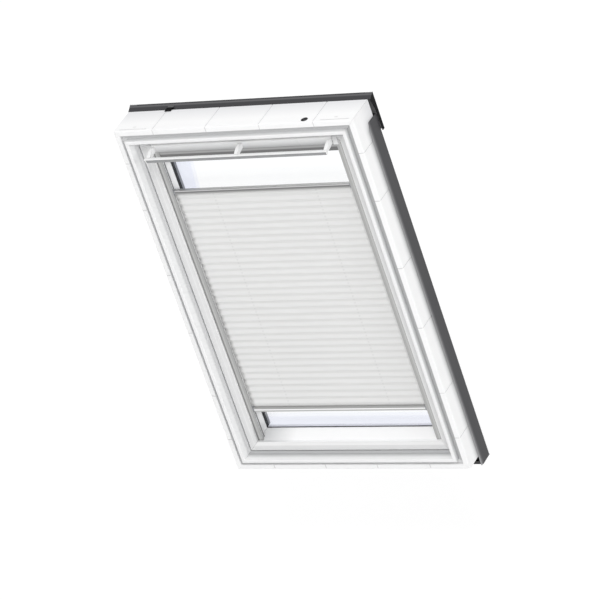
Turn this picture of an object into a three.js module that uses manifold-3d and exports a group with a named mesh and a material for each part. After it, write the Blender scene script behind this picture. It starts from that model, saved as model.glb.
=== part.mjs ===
// A centre-pivot roof window with its pleated blind, seen upright.
// Millimetres. +X is to the right as seen from the room, +Y points outdoors, +Z is up the window.
// The origin is the centre of the rectangle that the frame's room-side edge makes.
// Every section is drawn in (outward, depth): outward from that edge, and depth towards outdoors.

import * as THREE from "three";
import { mergeVertices } from "three/addons/utils/BufferGeometryUtils.js";
import Module from "manifold-3d";

const wasm = await Module();
wasm.setup();

// Overall sizes
const edgeWidth = 693;
const edgeHeight = 1091;

// Fits and cuts
const contactGap = 0.3;
const mitreGap = 0.25;
const cutOverrun = 3;
const arcSteps = 4;
const roundSides = 32;

// Frame
const stripWidth = 10;
const stripRound = 2;
const frameSlopeInset = 6;
const frameSlopeDepth = 25;
const frameLedgeDepth = 28;
const frameInset = 22.5;
const frameDepth = 106;
const grooveWidth = 13.5;
const grooveDepth = 18;

// Insulating collar around the frame
const collarWall = 16.5;
const collarFront = 10;
const collarRise = 6;
const collarRound = 4;
const creaseSize = 8;
const creaseShares = {
  top: [-0.364, -0.121, 0.121, 0.364],
  bottom: [-0.364, -0.121, 0.121, 0.364],
  left: [-0.43, -0.29, -0.09, 0.09, 0.29, 0.43],
  right: [-0.43, -0.29, -0.09, 0.09, 0.29, 0.43],
};
const cornerSlotLength = 88;
const cornerSlotEnd = 16;
const cornerSlotDepth = 2.5;
const cornerSlotWidth = 2.2;
const cornerSlotBack = 6;
const cornerNickLength = 11;
const cornerNickBack = 12;
const cablePlugPlace = 222;
const cablePlugBack = 14;
const cablePlugRadius = 10;
const cablePlugLength = 9;
const cablePlugDish = 2;
const cablePlugRim = 2;

// Sash
const sashGap = 4;
const sashFront = 25;
const sashFace = 21;
const sashSlope = 12;
const sashRound = 2.5;
const lintelHeight = 6;
const revealStep = 20;
const revealSpread = 22.33;
const revealNose = 3;
const glassSeatWidth = 26;
const sashSetBack = 2;

// Glass unit
const gasketThickness = 3;
const gasketLip = 1.2;
const gasketWidth = 14;
const paneThickness = 4;
const paneClearance = 2;
const paneSpacing = 13;
const paneSetBack = 1.8;
const sealWidth = 12;
const spacerWidth = 7;

// Outer covers of the sash
const coverSheet = 2;
const coverInset = 2;
const coverWidth = 31.5;
const coverHeight = 12;
const lowCoverHeight = 8;
const lowCoverGap = 1;
const lowCoverInner = 25.5;
const lowCoverDrip = 3.5;
const lowCoverLeg = 12;

// Outer claddings of the frame and the hood
const claddingSheet = 2;
const claddingReach = 57;
const claddingRaise = 11;
const claddingLipInset = 2.5;
const claddingTopDrop = 22;
const claddingTopSlant = 28;
const claddingTopFlat = 8;
const sillOverhang = 33.7;
const sillWallDepth = 48;
const sillFoot = 9.5;
const hoodRaise = 12;
const hoodLipGap = 7;
const hoodLength = 115;
const hoodRise = 37.5;
const hoodSlope = 11;
const hoodSideGap = 3.7;
const hoodNarrowLength = 57;
const hoodNarrowDepth = 10.5;
const hoodClipPlace = 246;
const hoodClipWidth = 19;
const hoodClipOverlap = 8;
const hoodClipThickness = 2.5;

// Weather seal between frame and sash
const weatherSealThickness = 1;
const weatherSealBack = 10;
const weatherSealWidth = 5;

// Centre pivot
const pivotSetBack = 44;
const pinRadius = 8;
const pinLength = 11;
const pinClearance = 0.4;
const housingLength = 140;
const housingWidth = 34;
const housingWall = 2.4;
const pinEndClearance = 0.7;
const housingScrewRadius = 3.5;
const housingScrewDepth = 1.6;
const housingScrewShare = 0.31;
const plateLength = 110;
const plateWidth = 30;
const plateThickness = 2;

// Ventilation flap and control bar
const flapInset = 15.5;
const flapEndGap = 1;
const flapRecess = 7.5;
const flapFloorGap = 0.4;
const flapPivotDrop = 23.5;
const flapBarrelRadius = 3.6;
const flapHeight = 20.5;
const flapFront = 4.1;
const flapBack = 2.5;
const flapNose = 4;
const flapPinRadius = 1.8;
const flapPinLength = 5;
const flapPinClearance = 0.3;
const barOverhang = 2.5;
const barCapLength = 3;
const barHeight = 14.5;
const barDepth = 9;
const barRound = 3;
const barReach = 53.5;
const barDrop = 11.5;
const barFaceHeight = 4;
const barUndercut = 3;
const bracketWidth = 10;
const bracketRootHeight = 14;
const bracketTopDrop = 2;
const bracketTipHeight = 8;
const bracketTipDrop = 1.5;
const bracketSag = 2;
const bracketShares = { left: -1, middle: 0, right: 1 };

// Ventilation filter strips behind the flap
const filterInner = 60;
const filterLength = 180;
const filterHeight = 11;
const filterDepth = 3;
const filterDrop = 7;

// Lock in the sash's top and keeper in the frame's head
const lockWidth = 70;
const lockDepthStart = 38;
const lockDepth = 22;
const lockHeight = 19;
const boltWidth = 24;
const boltThickness = 8;
const boltLength = 16.5;
const boltReach = 8.5;
const boltTravel = 9;
const boltClearance = 0.4;
const keeperWidth = 60;
const keeperHeight = 13;
const keeperWall = 12;
const keeperSlotSide = 4;
const keeperSlotHeight = 9;
const keeperStopGap = 1;

// Side channels of the blind
const channelFront = 20;
const channelDepth = 10;
const channelWall = 1.8;
const channelSideWall = 1.1;
const channelSlot = 5;
const channelLip = 3.5;
const channelChamber = 6;
const tensionCordRadius = 0.7;
const cordHoleClearance = 0.4;
const topProfileHeight = 26.6;
const topProfileGroove = 3;

// Rails of the blind
const railDepth = 13;
const upperRailHeight = 12;
const lowerRailHeight = 16;
const railRound = 1.5;
const railSetBack = 1;
const railGroove = 1;
const railSlotWidth = 3;
const railSlotDepth = 3.2;
const upperRailDrop = 204.2;
const lowerRailRise = 162.8;
const shoePlate = 3.2;
const shoeClearance = 0.5;
const shoeBlockSetBack = 0.8;

// Pleated cloth
const clothSideGap = 0.9;
const clothSheet = 0.9;
const clothFoldDepth = 7;
const facetCount = 33;
const tabThickness = 1.6;
const tabLength = 2.4;

// Finishes
const whiteFrame = { color: 0xe9ebec, roughness: 0.42, metalness: 0 };
const whiteMetal = { color: 0xeceded, roughness: 0.35, metalness: 0 };
const whitePlastic = { color: 0xeeeeee, roughness: 0.5, metalness: 0 };
const whiteCollar = { color: 0xf1f1f0, roughness: 0.7, metalness: 0 };
const darkCladding = { color: 0x3b3d41, roughness: 0.45, metalness: 0.4 };
const blackRubber = { color: 0x141414, roughness: 0.8, metalness: 0 };
const clearGlass = { color: 0xdfe9f0, roughness: 0.05, metalness: 0, transparent: true, opacity: 0.3 };
const satinMetal = { color: 0xa7a9ab, roughness: 0.4, metalness: 0.8 };
const zincMetal = { color: 0xb9bcbf, roughness: 0.35, metalness: 0.9 };
const greyPlastic = { color: 0x84868a, roughness: 0.55, metalness: 0 };
const whiteCloth = { color: 0xe4e4e3, roughness: 0.95, metalness: 0 };
const whiteCord = { color: 0xeeeeec, roughness: 0.9, metalness: 0 };
const filterFoam = { color: 0xb4b7b9, roughness: 1, metalness: 0 };

// Derived places
const halfWidth = edgeWidth / 2;
const halfHeight = edgeHeight / 2;
const collarOuter = grooveWidth + collarWall;
const collarBack = frameDepth + collarRise;
const collarDepth = collarBack - collarFront;
const sashOuter = frameInset + sashGap;
const sashInner = sashOuter + sashFace;
const sashBack = frameDepth - sashSetBack;
const glassStack = gasketThickness + 2 * paneThickness + paneSpacing + 4 * contactGap;
const glassSeat = sashBack - paneSetBack - glassStack;
const revealStart = sashFront + revealStep;
const revealEnd = glassSeat - revealNose;
const glassEdge = sashInner + revealSpread;
const revealSplay = revealSpread / (revealEnd - revealStart);
const seatOuter = glassEdge - glassSeatWidth;
const paneOuter = seatOuter + paneClearance;
const gasketFront = glassSeat + contactGap;
const innerPaneFront = gasketFront + gasketThickness + contactGap;
const spacerFront = innerPaneFront + paneThickness + contactGap;
const outerPaneFront = spacerFront + paneSpacing + contactGap;
const outerPaneBack = outerPaneFront + paneThickness;
const channelStart = sashFront + channelFront;
const railStart = channelStart + railSetBack;
const slotMiddle = channelStart + channelDepth / 2;
const channelBack = channelStart + channelDepth;
const channelOuter = -sashInner - contactGap;
const channelBackCorner = channelOuter - revealSplay * (channelBack - revealStart) - contactGap;
const chamberOuter = channelBackCorner - channelSideWall;
const channelInner = chamberOuter - channelChamber - channelLip;
const railHalfLength = halfWidth + channelInner - contactGap;
const upperRailBottom = halfHeight - upperRailDrop;
const lowerRailTop = lowerRailRise - halfHeight;
const clothMiddle = (upperRailBottom + lowerRailTop) / 2;
const flapPivotDepth = sashFront + flapRecess - flapFloorGap - flapBarrelRadius;
const flapPivotHeight = halfHeight - sashOuter - flapPivotDrop;
const flapHalfLength = halfWidth - sashInner - flapInset;
const barHalfLength = flapHalfLength + barOverhang;
const pivotDepth = frameDepth - pivotSetBack;
const pinEnd = plateThickness + pinLength - sashOuter + contactGap;
const housingFace = -frameInset + contactGap;
const housingBoreDepth = pinEnd + pinEndClearance - housingFace;
const housingThickness = housingBoreDepth + housingWall;
const boltDepth = lockDepthStart + (lockDepth - boltThickness) / 2;
const keeperStopDepth = boltDepth + boltThickness + keeperStopGap;
const keeperBack = keeperStopDepth + keeperWall;
const creaseHalf = creaseSize / 2;

// The four sides share one local layout: x outward from the edge, y depth, z along the side
const sides = {
  right: { turn: 0, across: halfWidth, along: halfHeight },
  left: { turn: Math.PI, across: halfWidth, along: halfHeight },
  top: { turn: -Math.PI / 2, across: halfHeight, along: halfWidth },
  bottom: { turn: Math.PI / 2, across: halfHeight, along: halfWidth },
};

const object = new THREE.Group();
const stations = {};
for (const [name, side] of Object.entries(sides)) {
  const station = new THREE.Group();
  station.rotation.y = side.turn;
  station.position.set(side.across * Math.cos(side.turn), 0, -side.across * Math.sin(side.turn));
  object.add(station);
  stations[name] = station;
}

// Pieces that run across the window are drawn in (depth, height) and run along X
const crosswise = new THREE.Group();
crosswise.rotation.set(Math.PI / 2, Math.PI / 2, 0);
object.add(crosswise);

function addPiece(name, geometry, finish, parent = object) {
  const mesh = new THREE.Mesh(geometry, new THREE.MeshStandardMaterial(finish));
  mesh.name = name;
  parent.add(mesh);
  return mesh;
}

// A closed outline whose corners are [x, y] or [x, y, round]
function outline(corners) {
  const shape = new THREE.Shape();
  corners.forEach(([x, y, round = 0], index) => {
    const corner = new THREE.Vector2(x, y);
    const before = new THREE.Vector2(...corners[(index + corners.length - 1) % corners.length]);
    const after = new THREE.Vector2(...corners[(index + 1) % corners.length]);
    const entry = corner.clone().add(before.sub(corner).setLength(round));
    const exit = corner.clone().add(after.sub(corner).setLength(round));
    if (index === 0) {
      shape.moveTo(entry.x, entry.y);
    } else {
      shape.lineTo(entry.x, entry.y);
    }
    if (round > 0) {
      shape.quadraticCurveTo(corner.x, corner.y, exit.x, exit.y);
    }
  });
  shape.closePath();
  return shape;
}

function rectangle(x0, x1, y0, y1, round = 0) {
  return outline([[x0, y0, round], [x1, y0, round], [x1, y1, round], [x0, y1, round]]);
}

// A unit prism from z -1 to 1, whose ends are moved to the half length at each corner
function prism(shape, halfLengthAt, curveSegments = arcSteps) {
  const geometry = new THREE.ExtrudeGeometry(shape, { depth: 1, bevelEnabled: false, curveSegments });
  const place = geometry.attributes.position;
  for (let i = 0; i < place.count; i += 1) {
    const end = place.getZ(i) * 2 - 1;
    place.setZ(i, end * halfLengthAt(place.getX(i), place.getY(i)));
  }
  return geometry;
}

// A prism between two heights
function prismBetween(shape, low, high, curveSegments = arcSteps) {
  const geometry = new THREE.ExtrudeGeometry(shape, { depth: high - low, bevelEnabled: false, curveSegments });
  geometry.translate(0, 0, low);
  return geometry;
}

// One mitred side of a rectangular ring
function mitred(shape, side) {
  return prism(shape, (outward) => side.along + outward - mitreGap);
}

function block(x0, x1, y0, y1, z0, z1) {
  const geometry = new THREE.BoxGeometry(x1 - x0, y1 - y0, z1 - z0);
  geometry.translate((x0 + x1) / 2, (y0 + y1) / 2, (z0 + z1) / 2);
  return geometry;
}

function rodAlongX(radius, x0, x1, y, z, sidesRound = roundSides) {
  const geometry = new THREE.CylinderGeometry(radius, radius, x1 - x0, sidesRound);
  geometry.rotateZ(Math.PI / 2);
  geometry.translate((x0 + x1) / 2, y, z);
  return geometry;
}

function rodAlongZ(radius, x, y, z0, z1, sidesRound = roundSides) {
  const geometry = new THREE.CylinderGeometry(radius, radius, z1 - z0, sidesRound);
  geometry.rotateX(Math.PI / 2);
  geometry.translate(x, y, (z0 + z1) / 2);
  return geometry;
}

// A flat plate with round ends, long along z and thick along x
function roundEnded(length, width, x0, x1, y) {
  const straight = (length - width) / 2;
  const shape = new THREE.Shape();
  shape.absarc(straight, 0, width / 2, -Math.PI / 2, Math.PI / 2, false);
  shape.absarc(-straight, 0, width / 2, Math.PI / 2, Math.PI * 1.5, false);
  const geometry = new THREE.ExtrudeGeometry(shape, {
    depth: x1 - x0,
    bevelEnabled: false,
    curveSegments: roundSides / 2,
  });
  geometry.rotateY(Math.PI / 2);
  geometry.translate(x0, y, 0);
  return geometry;
}

function toSolid(geometry) {
  const bare = geometry.clone();
  bare.deleteAttribute("normal");
  bare.deleteAttribute("uv");
  const merged = mergeVertices(bare);
  return new wasm.Manifold(new wasm.Mesh({
    numProp: 3,
    vertProperties: new Float32Array(merged.attributes.position.array),
    triVerts: new Uint32Array(merged.index.array),
  }));
}

function toGeometry(solid) {
  const mesh = solid.getMesh();
  const geometry = new THREE.BufferGeometry();
  geometry.setAttribute("position", new THREE.BufferAttribute(mesh.vertProperties, 3));
  geometry.setIndex(new THREE.BufferAttribute(mesh.triVerts, 1));
  geometry.computeVertexNormals();
  return geometry;
}

function cut(geometry, cutters) {
  return toGeometry(cutters.reduce((solid, cutter) => solid.subtract(toSolid(cutter)), toSolid(geometry)));
}

function join(geometries) {
  const [first, ...others] = geometries.map(toSolid);
  return toGeometry(others.reduce((solid, other) => solid.add(other), first));
}

// Frame: four mitred members with a room-side strip, a lining groove and pockets for the fittings
const frameOutline = outline([
  [0, 0, stripRound],
  [-stripWidth, 0, stripRound],
  [-stripWidth - frameSlopeInset, frameSlopeDepth],
  [-frameInset, frameLedgeDepth],
  [-frameInset, frameDepth],
  [grooveWidth - contactGap, frameDepth],
  [grooveWidth - contactGap, grooveDepth],
  [0, grooveDepth],
]);

function housingPocket() {
  const fit = 2 * contactGap;
  return roundEnded(
    housingLength + fit,
    housingWidth + fit,
    -frameInset - cutOverrun,
    -frameInset + contactGap + housingThickness + contactGap,
    pivotDepth,
  );
}

function keeperPocket() {
  const half = keeperWidth / 2 + contactGap;
  return block(
    -frameInset - cutOverrun,
    -frameInset + keeperHeight + contactGap,
    frameSlopeDepth - cutOverrun,
    keeperBack + contactGap,
    -half,
    half,
  );
}

const framePockets = { left: [housingPocket()], right: [housingPocket()], top: [keeperPocket()], bottom: [] };
for (const [name, side] of Object.entries(sides)) {
  const member = mitred(frameOutline, side);
  const pockets = framePockets[name];
  addPiece(`frame_${name}`, pockets.length ? cut(member, pockets) : member, whiteFrame, stations[name]);
}

// Collar: four mitred members with creases, and slots and a cable hole in the top one
const collarOutline = outline([
  [grooveWidth, collarFront],
  [collarOuter, collarFront, collarRound],
  [collarOuter, collarBack],
  [grooveWidth, collarBack],
]);

function creaseCutters(place) {
  const faceCrease = new THREE.BoxGeometry(creaseSize, collarDepth + 2 * cutOverrun, creaseSize);
  faceCrease.rotateY(Math.PI / 4);
  faceCrease.translate(collarOuter + creaseHalf, collarFront + collarDepth / 2, place);
  const lipCrease = new THREE.BoxGeometry(collarWall + 2 * cutOverrun, creaseSize, creaseSize);
  lipCrease.rotateX(Math.PI / 4);
  lipCrease.translate(grooveWidth + collarWall / 2, collarFront - creaseHalf, place);
  return [faceCrease, lipCrease];
}

function cornerSlotCutters(hand) {
  const outer = hand * (halfWidth + collarOuter - cornerSlotEnd);
  const inner = outer - hand * cornerSlotLength;
  const middle = (outer + inner) / 2;
  const slotFront = collarFront + cornerSlotBack;
  const nickFront = slotFront + cornerNickBack;
  const floor = collarOuter - cornerSlotDepth;
  const roof = collarOuter + cutOverrun;
  return [
    block(floor, roof, slotFront, slotFront + cornerSlotWidth, Math.min(outer, inner), Math.max(outer, inner)),
    block(
      floor,
      roof,
      nickFront,
      nickFront + cornerSlotWidth,
      middle - cornerNickLength / 2,
      middle + cornerNickLength / 2,
    ),
  ];
}

const cablePlugDepth = collarFront + cablePlugBack;
const cableHole = rodAlongX(
  cablePlugRadius + contactGap,
  grooveWidth - cutOverrun,
  collarOuter + cutOverrun,
  cablePlugDepth,
  -cablePlugPlace,
);

for (const [name, side] of Object.entries(sides)) {
  const cutters = creaseShares[name].flatMap((share) => creaseCutters(share * 2 * side.along));
  if (name === "top") {
    cutters.push(...cornerSlotCutters(1), ...cornerSlotCutters(-1), cableHole);
  }
  addPiece(`collar_${name}`, cut(mitred(collarOutline, side), cutters), whiteCollar, stations[name]);
}

const plugTop = collarOuter - contactGap;
const plugProfile = [
  [0, plugTop - cablePlugLength],
  [cablePlugRadius, plugTop - cablePlugLength],
  [cablePlugRadius, plugTop],
  [cablePlugRadius - cablePlugRim, plugTop],
  [cablePlugRadius - cablePlugRim - cablePlugDish / 2, plugTop - cablePlugDish],
  [0, plugTop - cablePlugDish],
].map(([radius, height]) => new THREE.Vector2(radius, height));
const plugGeometry = new THREE.LatheGeometry(plugProfile, roundSides);
plugGeometry.rotateZ(-Math.PI / 2);
plugGeometry.translate(0, cablePlugDepth, -cablePlugPlace);
addPiece("cable_plug", plugGeometry, blackRubber, stations.top);

// Weather seal: one ring on the frame's inner faces
function ring(outwardOuter, outwardInner, depth0, depth1) {
  const shape = rectangle(
    -halfWidth - outwardOuter,
    halfWidth + outwardOuter,
    -halfHeight - outwardOuter,
    halfHeight + outwardOuter,
  );
  shape.holes.push(rectangle(
    -halfWidth - outwardInner,
    halfWidth + outwardInner,
    -halfHeight - outwardInner,
    halfHeight + outwardInner,
  ));
  const geometry = prismBetween(shape, -depth1, -depth0);
  geometry.rotateX(Math.PI / 2);
  return geometry;
}

const sealOuter = -frameInset - contactGap;
const sealBack = frameDepth - weatherSealBack + weatherSealWidth;
addPiece(
  "weather_seal",
  ring(sealOuter, sealOuter - weatherSealThickness, sealBack - weatherSealWidth, sealBack),
  blackRubber,
);

// Sash: four mitred members with a sloping face, a stepped, splayed reveal and a rebate for the glass
const sashOutline = outline([
  [-sashOuter, sashFront, sashRound],
  [-sashInner, sashFront + sashSlope, sashRound],
  [-sashInner, revealStart],
  [-glassEdge, revealEnd],
  [-glassEdge, glassSeat],
  [-seatOuter, glassSeat],
  [-seatOuter, sashBack],
  [-sashOuter, sashBack],
]);

const recessFloor = sashFront + flapRecess;
const recessHalf = flapHalfLength + flapEndGap;
const flapPivotOutward = -sashOuter - flapPivotDrop;

function topSashCutters() {
  const lockHalf = lockWidth / 2 + contactGap;
  const filterTop = -sashOuter - filterDrop;
  const pinBore = flapPinRadius + flapPinClearance;
  const flapPinEnd = flapHalfLength + flapPinLength + flapEndGap;
  const cutters = [
    block(
      -sashInner - lintelHeight - cutOverrun,
      -sashOuter + cutOverrun,
      sashFront - cutOverrun,
      recessFloor,
      -recessHalf,
      recessHalf,
    ),
    block(
      -sashOuter - lockHeight - contactGap,
      -sashOuter + cutOverrun,
      lockDepthStart - contactGap,
      lockDepthStart + lockDepth + contactGap,
      -lockHalf,
      lockHalf,
    ),
  ];
  for (const hand of [-1, 1]) {
    const near = hand * (filterInner - contactGap);
    const far = hand * (filterInner + filterLength + contactGap);
    cutters.push(block(
      filterTop - filterHeight - contactGap,
      filterTop + contactGap,
      recessFloor - cutOverrun,
      recessFloor + filterDepth + contactGap,
      Math.min(near, far),
      Math.max(near, far),
    ));
    const start = hand * (recessHalf - cutOverrun);
    const stop = hand * flapPinEnd;
    cutters.push(rodAlongZ(
      pinBore,
      flapPivotOutward,
      flapPivotDepth,
      Math.min(start, stop),
      Math.max(start, stop),
      roundSides / 2,
    ));
  }
  return cutters;
}

// The top member carries a flat lintel between the side members, which holds the flap and its pins
function topSashMember(member) {
  const lintelHalf = halfWidth - sashInner - contactGap;
  const lintel = block(
    -sashInner - lintelHeight,
    -sashOuter - sashRound,
    sashFront,
    channelStart - contactGap,
    -lintelHalf,
    lintelHalf,
  );
  return cut(join([member, lintel]), topSashCutters());
}

for (const [name, side] of Object.entries(sides)) {
  const member = mitred(sashOutline, side);
  addPiece(`sash_${name}`, name === "top" ? topSashMember(member) : member, whiteFrame, stations[name]);
}

[["left", -1], ["right", 1]].forEach(([name, hand]) => {
  const near = hand * filterInner;
  const far = hand * (filterInner + filterLength);
  const top = -sashOuter - filterDrop;
  addPiece(
    `vent_filter_${name}`,
    block(
      top - filterHeight,
      top,
      recessFloor,
      recessFloor + filterDepth,
      Math.min(-near, -far),
      Math.max(-near, -far),
    ),
    filterFoam,
    stations.top,
  );
});

// Glass unit: two panes, a spacer and an edge seal between them, and a gasket on the sash's seat
function pane(depth) {
  const halfX = halfWidth - paneOuter;
  const halfZ = halfHeight - paneOuter;
  return block(-halfX, halfX, depth, depth + paneThickness, -halfZ, halfZ);
}

addPiece("glass_inner", pane(innerPaneFront), clearGlass);
addPiece("glass_outer", pane(outerPaneFront), clearGlass);
addPiece(
  "glass_edge_seal",
  ring(-paneOuter, -paneOuter - sealWidth, spacerFront, spacerFront + paneSpacing),
  blackRubber,
);
const spacerOuter = -paneOuter - sealWidth - contactGap;
addPiece(
  "glass_spacer",
  ring(spacerOuter, spacerOuter - spacerWidth, spacerFront, spacerFront + paneSpacing),
  satinMetal,
);
addPiece(
  "glazing_gasket",
  ring(-glassEdge - gasketLip + gasketWidth, -glassEdge - gasketLip, gasketFront, gasketFront + gasketThickness),
  blackRubber,
);

// Outer covers of the sash: a raised channel on three sides, and a low one with a drip below
const coverFoot = sashBack + contactGap;
const coverGlassFoot = outerPaneBack + contactGap;
const coverTop = sashBack + coverHeight;
const coverOuter = -sashOuter - coverInset;
const coverInner = coverOuter - coverWidth;
const coverOutline = outline([
  [coverOuter, coverFoot],
  [coverOuter, coverTop, coverSheet],
  [coverInner, coverTop, coverSheet],
  [coverInner, coverGlassFoot],
  [coverInner + coverSheet, coverGlassFoot],
  [coverInner + coverSheet, coverTop - coverSheet],
  [coverOuter - coverSheet, coverTop - coverSheet],
  [coverOuter - coverSheet, coverFoot],
]);
const lowTop = sashBack + lowCoverHeight;
const lowInner = -sashOuter - lowCoverInner;
const lowOuter = claddingLipInset - frameInset - lowCoverGap;
const lowLeg = lowInner + lowCoverLeg;
const lowCoverOutline = outline([
  [lowOuter, lowTop - coverSheet - lowCoverDrip],
  [lowOuter, lowTop, coverSheet],
  [lowInner, lowTop],
  [lowInner, lowTop - coverSheet],
  [lowLeg, lowTop - coverSheet],
  [lowLeg, coverFoot],
  [lowLeg + coverSheet, coverFoot],
  [lowLeg + coverSheet, lowTop - coverSheet],
  [lowOuter - coverSheet, lowTop - coverSheet],
  [lowOuter - coverSheet, lowTop - coverSheet - lowCoverDrip],
]);
const lowLipHalf = halfWidth - seatOuter - contactGap;
const coverEnd = halfHeight + lowInner - contactGap;
const lowCoverHalf = halfWidth + coverOuter;

for (const name of ["left", "right"]) {
  const hand = name === "right" ? 1 : -1;
  const cover = prism(coverOutline, (outward) => sides[name].along + outward - mitreGap);
  const lowEnd = block(
    coverInner - cutOverrun,
    coverOuter + cutOverrun,
    sashBack - cutOverrun,
    coverTop + cutOverrun,
    Math.min(-hand * coverEnd, -hand * edgeHeight),
    Math.max(-hand * coverEnd, -hand * edgeHeight),
  );
  addPiece(`sash_cover_${name}`, cut(cover, [lowEnd]), darkCladding, stations[name]);
}
addPiece("sash_cover_top", mitred(coverOutline, sides.top), darkCladding, stations.top);
addPiece(
  "sash_cover_bottom",
  join([
    prism(lowCoverOutline, () => lowCoverHalf),
    block(lowInner, lowInner + coverSheet, coverGlassFoot, lowTop - coverSheet / 2, -lowLipHalf, lowLipHalf),
  ]),
  darkCladding,
  stations.bottom,
);

// Claddings of the frame's sides: a wall outside the collar, a flange over the frame and an inner lip
const wallInner = collarOuter + contactGap;
const wallOuter = wallInner + claddingSheet;
const flangeInner = claddingLipInset - frameInset;
const claddingBack = coverTop + claddingRaise;
const claddingFront = claddingBack - claddingReach;
const lipFoot = frameDepth + contactGap;
const claddingOutline = outline([
  [wallOuter, claddingFront],
  [wallOuter, claddingBack, claddingSheet],
  [flangeInner, claddingBack, claddingSheet],
  [flangeInner, lipFoot],
  [flangeInner + claddingSheet, lipFoot],
  [flangeInner + claddingSheet, claddingBack - claddingSheet],
  [wallInner, claddingBack - claddingSheet],
  [wallInner, claddingFront],
]);
const claddingTopEnd = halfHeight - claddingTopDrop;
const sillReach = collarOuter + sillOverhang;
const sillWallTop = sillReach - claddingSheet;
const claddingLowEnd = -(halfHeight + sillWallTop - contactGap);

for (const name of ["left", "right"]) {
  const hand = name === "right" ? 1 : -1;
  const ends = [hand * claddingLowEnd, hand * claddingTopEnd];
  const cladding = prismBetween(claddingOutline, Math.min(...ends), Math.max(...ends));
  const slant = outline([
    [claddingFront - cutOverrun, hand * (claddingTopEnd - claddingTopSlant)],
    [claddingFront, hand * (claddingTopEnd - claddingTopSlant)],
    [claddingFront + claddingTopFlat, hand * claddingTopEnd],
    [claddingFront + claddingTopFlat, hand * (claddingTopEnd + cutOverrun)],
    [claddingFront - cutOverrun, hand * (claddingTopEnd + cutOverrun)],
  ]);
  const corner = prismBetween(slant, wallInner - cutOverrun, wallOuter + cutOverrun);
  corner.rotateY(Math.PI / 2);
  corner.rotateX(Math.PI / 2);
  const notchEnds = [hand * (claddingLowEnd - cutOverrun), -hand * (halfHeight + grooveWidth - contactGap)];
  const collarNotch = block(
    flangeInner - cutOverrun,
    flangeInner + claddingSheet + cutOverrun,
    lipFoot - cutOverrun,
    collarBack + contactGap,
    Math.min(...notchEnds),
    Math.max(...notchEnds),
  );
  addPiece(`cladding_${name}`, cut(cladding, [corner, collarNotch]), darkCladding, stations[name]);
}

// Sill cladding: a flange between the side claddings, and a wall with a foot that closes their ends
const sillFlangeOutline = outline([
  [sillReach - claddingSheet / 2, claddingBack],
  [flangeInner, claddingBack, claddingSheet],
  [flangeInner, lipFoot],
  [flangeInner + claddingSheet, lipFoot],
  [flangeInner + claddingSheet, claddingBack - claddingSheet],
  [sillReach - claddingSheet / 2, claddingBack - claddingSheet],
]);
const sillWallFront = claddingBack - sillWallDepth;
const sillWallOutline = rectangle(sillWallTop, sillReach, sillWallFront, claddingBack, claddingSheet / 4);
const sillFootOutline = rectangle(
  sillReach - sillFoot,
  sillReach - claddingSheet / 2,
  sillWallFront + claddingSheet / 2,
  sillWallFront + claddingSheet * 1.5,
);
addPiece(
  "sill_cladding",
  join([
    prism(sillWallOutline, () => halfWidth + wallOuter),
    prism(sillFootOutline, () => halfWidth + wallInner - contactGap),
    prism(sillFlangeOutline, () => halfWidth + flangeInner - contactGap),
  ]),
  darkCladding,
  stations.bottom,
);

// Hood: a back plate, a sloping top lip, two side walls and a clip over the collar
const hoodOuterDepth = claddingBack + hoodRaise;
const hoodFront = collarBack + hoodLipGap;
const hoodLow = hoodRise - hoodLength;
const hoodHalf = halfWidth + wallOuter + hoodSideGap;
const hoodTopOutline = outline([
  [hoodRise, hoodOuterDepth, claddingSheet / 2],
  [hoodLow, hoodOuterDepth],
  [hoodLow, hoodOuterDepth - claddingSheet],
  [hoodRise - claddingSheet * 1.5, hoodOuterDepth - claddingSheet],
  [hoodRise - hoodSlope - claddingSheet, hoodFront],
  [hoodRise - hoodSlope, hoodFront],
]);
const hoodSideOutline = outline([
  [hoodRise, hoodOuterDepth],
  [hoodLow, hoodOuterDepth],
  [hoodLow, hoodOuterDepth - hoodNarrowDepth],
  [hoodRise - hoodNarrowLength, hoodOuterDepth - hoodNarrowDepth],
  [hoodRise - hoodSlope, hoodFront],
]);
const clipTop = collarOuter + contactGap + hoodClipThickness;
addPiece(
  "hood",
  join([
    prism(hoodTopOutline, () => hoodHalf),
    prismBetween(hoodSideOutline, hoodHalf - claddingSheet, hoodHalf),
    prismBetween(hoodSideOutline, -hoodHalf, -hoodHalf + claddingSheet),
    block(
      collarOuter + contactGap,
      clipTop,
      collarBack - hoodClipOverlap,
      hoodOuterDepth - claddingSheet / 2,
      hoodClipPlace - hoodClipWidth / 2,
      hoodClipPlace + hoodClipWidth / 2,
    ),
  ]),
  darkCladding,
  stations.top,
);

// Centre pivot: a housing sunk in each side of the frame, and a plate with its pin on the sash
const plateFace = -sashOuter + contactGap;
for (const name of ["left", "right"]) {
  const bore = rodAlongX(
    pinRadius + pinClearance,
    housingFace - cutOverrun,
    housingFace + housingBoreDepth,
    pivotDepth,
    0,
  );
  const screwSeats = [-1, 1].map((end) => rodAlongX(
    housingScrewRadius,
    housingFace - cutOverrun,
    housingFace + housingScrewDepth,
    pivotDepth,
    end * housingScrewShare * housingLength,
    roundSides / 2,
  ));
  addPiece(
    `hinge_housing_${name}`,
    cut(
      roundEnded(housingLength, housingWidth, housingFace, housingFace + housingThickness, pivotDepth),
      [bore, ...screwSeats],
    ),
    zincMetal,
    stations[name],
  );
  addPiece(
    `pivot_plate_${name}`,
    join([
      roundEnded(plateLength, plateWidth, plateFace, plateFace + plateThickness, pivotDepth),
      rodAlongX(pinRadius, plateFace + plateThickness / 2, plateFace + plateThickness + pinLength, pivotDepth, 0),
    ]),
    zincMetal,
    stations[name],
  );
}

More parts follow.
